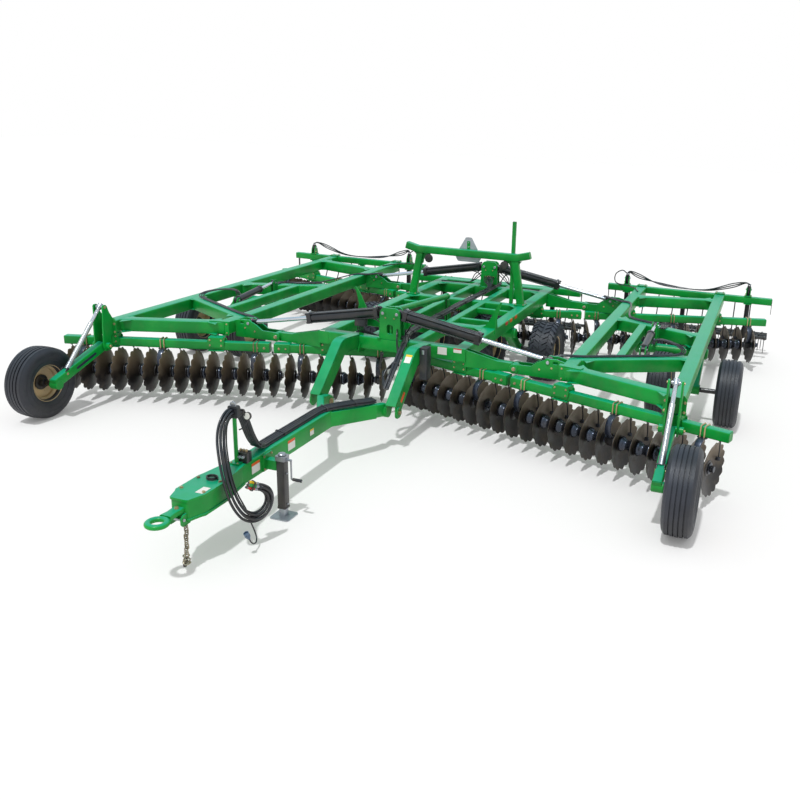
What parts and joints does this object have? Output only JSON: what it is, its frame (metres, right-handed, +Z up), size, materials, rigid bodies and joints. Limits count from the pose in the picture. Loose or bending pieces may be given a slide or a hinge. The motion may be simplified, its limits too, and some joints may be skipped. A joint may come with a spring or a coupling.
{
  "type": "towed tandem disc harrow with folding wings",
  "caption": "Towed tandem disc harrow: centre frame on wheels, two folding wings, angled disc gangs, rear tine harrow, tongue with jack.",
  "frame": {"origin": "on the ground below the middle of the machine's outline", "axes": "+Z up, the tongue points along -Y, the left wing lies along +X"},
  "size_m": [8.212, 9.396, 2.08],
  "materials": {
    "green_paint": "gloss enamel",
    "black_paint": "satin enamel",
    "disc_steel": "worn, dusty with dry earth",
    "chrome": "polished rod",
    "tyre": "matt rubber with a tan rim in the looks model",
    "black_plastic": "moulded",
    "hose": "smooth hydraulic hose"
  },
  "bodies": {
    "centre": {"centre_frame": "green_paint", "front_mast": "green_paint", "rear_mast": "green_paint", "wing_rest": "green_paint", "manual_box": "black_plastic", "front_gang_beam_centre": "green_paint", "rear_gang_beam_centre": "green_paint", "centre_rockshaft": "green_paint", "harrow_centre": "black_paint", "leg_hoses": "hose"},
    "tongue": {"tongue": "green_paint", "jack_tube": "black_paint", "tongue_hoses": "hose", "hose_1": "hose", "hose_2": "hose", "hose_3": "hose", "hose_4": "hose", "hose_5": "hose", "hose_couplers": "hose", "lead": "hose", "lead_plug": "black_plastic"},
    "jack_leg": {"jack_leg": "chrome"},
    "wing_left": {"wing_frame_left": "green_paint", "front_gang_beam_left": "green_paint", "rear_gang_beam_left": "green_paint", "gauge_arm_left": "green_paint", "wing_rockshaft_left": "green_paint", "harrow_left": "black_paint"},
    "front_fold_barrel_left": {"front_fold_barrel_left": "black_paint"},
    "front_fold_rod_left": {"front_fold_rod_left": "chrome"},
    "rear_fold_barrel_left": {"rear_fold_barrel_left": "black_paint"},
    "rear_fold_rod_left": {"rear_fold_rod_left": "chrome"},
    "front_gang_left": {"front_gang_left": "disc_steel"},
    "rear_gang_left": {"rear_gang_left": "disc_steel"},
    "front_centre_gang_left": {"front_centre_gang_left": "disc_steel"},
    "rear_centre_gang_left": {"rear_centre_gang_left": "disc_steel"},
    "gauge_wheel_left": {"gauge_wheel_left": "tyre"},
    "wing_wheel_inner_left": {"wing_wheel_inner_left": "tyre"},
    "wing_wheel_outer_left": {"wing_wheel_outer_left": "tyre"},
    "centre_wheel_inner_left": {"centre_wheel_inner_left": "tyre"},
    "centre_wheel_outer_left": {"centre_wheel_outer_left": "tyre"},
    "wing_right": {"wing_frame_right": "green_paint", "front_gang_beam_right": "green_paint", "rear_gang_beam_right": "green_paint", "gauge_arm_right": "green_paint", "wing_rockshaft_right": "green_paint", "harrow_right": "black_paint"},
    "front_fold_barrel_right": {"front_fold_barrel_right": "black_paint"},
    "front_fold_rod_right": {"front_fold_rod_right": "chrome"},
    "rear_fold_barrel_right": {"rear_fold_barrel_right": "black_paint"},
    "rear_fold_rod_right": {"rear_fold_rod_right": "chrome"},
    "front_gang_right": {"front_gang_right": "disc_steel"},
    "rear_gang_right": {"rear_gang_right": "disc_steel"},
    "front_centre_gang_right": {"front_centre_gang_right": "disc_steel"},
    "rear_centre_gang_right": {"rear_centre_gang_right": "disc_steel"},
    "gauge_wheel_right": {"gauge_wheel_right": "tyre"},
    "wing_wheel_inner_right": {"wing_wheel_inner_right": "tyre"},
    "wing_wheel_outer_right": {"wing_wheel_outer_right": "tyre"},
    "centre_wheel_inner_right": {"centre_wheel_inner_right": "tyre"},
    "centre_wheel_outer_right": {"centre_wheel_outer_right": "tyre"}
  },
  "joints": [
    {"name": "tongue_pitch", "type": "hinge", "parent": "centre", "child": "tongue", "pos_m": [0, -1.478, 0.425], "axis": [-1, 0, 0], "range_deg": [-8, 12]},
    {"name": "jack_slide", "type": "slide", "parent": "tongue", "child": "jack_leg", "axis": [0, 0, 1], "range_m": [0, 0.065]},
    {"name": "fold_left", "type": "hinge", "parent": "centre", "child": "wing_left", "pos_m": [1.5, -0.558, 0.806], "axis": [0, -1, 0], "range_deg": [0, 112]},
    {"name": "front_barrel_swing_left", "type": "hinge", "parent": "centre", "child": "front_fold_barrel_left", "pos_m": [0.087, -0.558, 1.257], "axis": [0, -1, 0], "range_deg": [-1, 4.18]},
    {"name": "front_rod_slide_left", "type": "slide", "parent": "front_fold_barrel_left", "child": "front_fold_rod_left", "axis": [0.9838, 0, -0.1794], "range_m": [-0.6598, 0.002]},
    {"name": "rear_barrel_swing_left", "type": "hinge", "parent": "centre", "child": "rear_fold_barrel_left", "pos_m": [0.087, 2.962, 1.257], "axis": [0, -1, 0], "range_deg": [-1, 4.18]},
    {"name": "rear_rod_slide_left", "type": "slide", "parent": "rear_fold_barrel_left", "child": "rear_fold_rod_left", "axis": [0.9838, 0, -0.1794], "range_m": [-0.6598, 0.002]},
    {"name": "front_gang_left_spin", "type": "hinge", "parent": "wing_left", "child": "front_gang_left", "pos_m": [1.42, -0.75161, 0.365], "axis": [0.9511, -0.309, 0], "continuous": true},
    {"name": "rear_gang_left_spin", "type": "hinge", "parent": "wing_left", "child": "rear_gang_left", "pos_m": [1.42, 2.7434, 0.365], "axis": [0.9511, 0.309, 0], "continuous": true},
    {"name": "front_centre_gang_left_spin", "type": "hinge", "parent": "centre", "child": "front_centre_gang_left", "pos_m": [0.18172, -0.34927, 0.365], "axis": [0.9511, -0.309, 0], "continuous": true},
    {"name": "rear_centre_gang_left_spin", "type": "hinge", "parent": "centre", "child": "rear_centre_gang_left", "pos_m": [0.18172, 2.34106, 0.365], "axis": [0.9511, 0.309, 0], "continuous": true},
    {"name": "gauge_wheel_left_spin", "type": "hinge", "parent": "wing_left", "child": "gauge_wheel_left", "pos_m": [3.545, -2.208, 0.405], "axis": [1, 0, 0], "continuous": true},
    {"name": "wing_wheel_inner_left_spin", "type": "hinge", "parent": "wing_left", "child": "wing_wheel_inner_left", "pos_m": [2.935, 0.832, 0.405], "axis": [1, 0, 0], "continuous": true},
    {"name": "wing_wheel_outer_left_spin", "type": "hinge", "parent": "wing_left", "child": "wing_wheel_outer_left", "pos_m": [3.735, 0.832, 0.405], "axis": [1, 0, 0], "continuous": true},
    {"name": "centre_wheel_inner_left_spin", "type": "hinge", "parent": "centre", "child": "centre_wheel_inner_left", "pos_m": [0.433, 1.672, 0.405], "axis": [1, 0, 0], "continuous": true},
    {"name": "centre_wheel_outer_left_spin", "type": "hinge", "parent": "centre", "child": "centre_wheel_outer_left", "pos_m": [1.275, 1.672, 0.405], "axis": [1, 0, 0], "continuous": true},
    {"name": "fold_right", "type": "hinge", "parent": "centre", "child": "wing_right", "pos_m": [-1.5, -0.558, 0.806], "axis": [0, 1, 0], "range_deg": [0, 112]},
    {"name": "front_barrel_swing_right", "type": "hinge", "parent": "centre", "child": "front_fold_barrel_right", "pos_m": [-0.087, -0.558, 1.257], "axis": [0, 1, 0], "range_deg": [-1, 4.18]},
    {"name": "front_rod_slide_right", "type": "slide", "parent": "front_fold_barrel_right", "child": "front_fold_rod_right", "axis": [-0.9838, 0, -0.1794], "range_m": [-0.6598, 0.002]},
    {"name": "rear_barrel_swing_right", "type": "hinge", "parent": "centre", "child": "rear_fold_barrel_right", "pos_m": [-0.087, 2.962, 1.257], "axis": [0, 1, 0], "range_deg": [-1, 4.18]},
    {"name": "rear_rod_slide_right", "type": "slide", "parent": "rear_fold_barrel_right", "child": "rear_fold_rod_right", "axis": [-0.9838, 0, -0.1794], "range_m": [-0.6598, 0.002]},
    {"name": "front_gang_right_spin", "type": "hinge", "parent": "wing_right", "child": "front_gang_right", "pos_m": [-1.42, -0.75161, 0.365], "axis": [0.9511, 0.309, 0], "continuous": true},
    {"name": "rear_gang_right_spin", "type": "hinge", "parent": "wing_right", "child": "rear_gang_right", "pos_m": [-1.42, 2.7434, 0.365], "axis": [0.9511, -0.309, 0], "continuous": true},
    {"name": "front_centre_gang_right_spin", "type": "hinge", "parent": "centre", "child": "front_centre_gang_right", "pos_m": [-0.18172, -0.34927, 0.365], "axis": [0.9511, 0.309, 0], "continuous": true},
    {"name": "rear_centre_gang_right_spin", "type": "hinge", "parent": "centre", "child": "rear_centre_gang_right", "pos_m": [-0.18172, 2.34106, 0.365], "axis": [0.9511, -0.309, 0], "continuous": true},
    {"name": "gauge_wheel_right_spin", "type": "hinge", "parent": "wing_right", "child": "gauge_wheel_right", "pos_m": [-3.545, -2.208, 0.405], "axis": [1, 0, 0], "continuous": true},
    {"name": "wing_wheel_inner_right_spin", "type": "hinge", "parent": "wing_right", "child": "wing_wheel_inner_right", "pos_m": [-2.935, 0.832, 0.405], "axis": [1, 0, 0], "continuous": true},
    {"name": "wing_wheel_outer_right_spin", "type": "hinge", "parent": "wing_right", "child": "wing_wheel_outer_right", "pos_m": [-3.735, 0.832, 0.405], "axis": [1, 0, 0], "continuous": true},
    {"name": "centre_wheel_inner_right_spin", "type": "hinge", "parent": "centre", "child": "centre_wheel_inner_right", "pos_m": [-0.433, 1.672, 0.405], "axis": [1, 0, 0], "continuous": true},
    {"name": "centre_wheel_outer_right_spin", "type": "hinge", "parent": "centre", "child": "centre_wheel_outer_right", "pos_m": [-1.275, 1.672, 0.405], "axis": [1, 0, 0], "continuous": true}
  ],
  "couplings": [
    {"joint": "front_barrel_swing_left", "follows": "fold_left", "ratio": 0.02838},
    {"joint": "front_rod_slide_left", "follows": "fold_left", "m_per_rad": -0.33652},
    {"joint": "rear_barrel_swing_left", "follows": "fold_left", "ratio": 0.02838},
    {"joint": "rear_rod_slide_left", "follows": "fold_left", "m_per_rad": -0.33652},
    {"joint": "front_barrel_swing_right", "follows": "fold_right", "ratio": 0.02838},
    {"joint": "front_rod_slide_right", "follows": "fold_right", "m_per_rad": -0.33652},
    {"joint": "rear_barrel_swing_right", "follows": "fold_right", "ratio": 0.02838},
    {"joint": "rear_rod_slide_right", "follows": "fold_right", "m_per_rad": -0.33652}
  ]
}
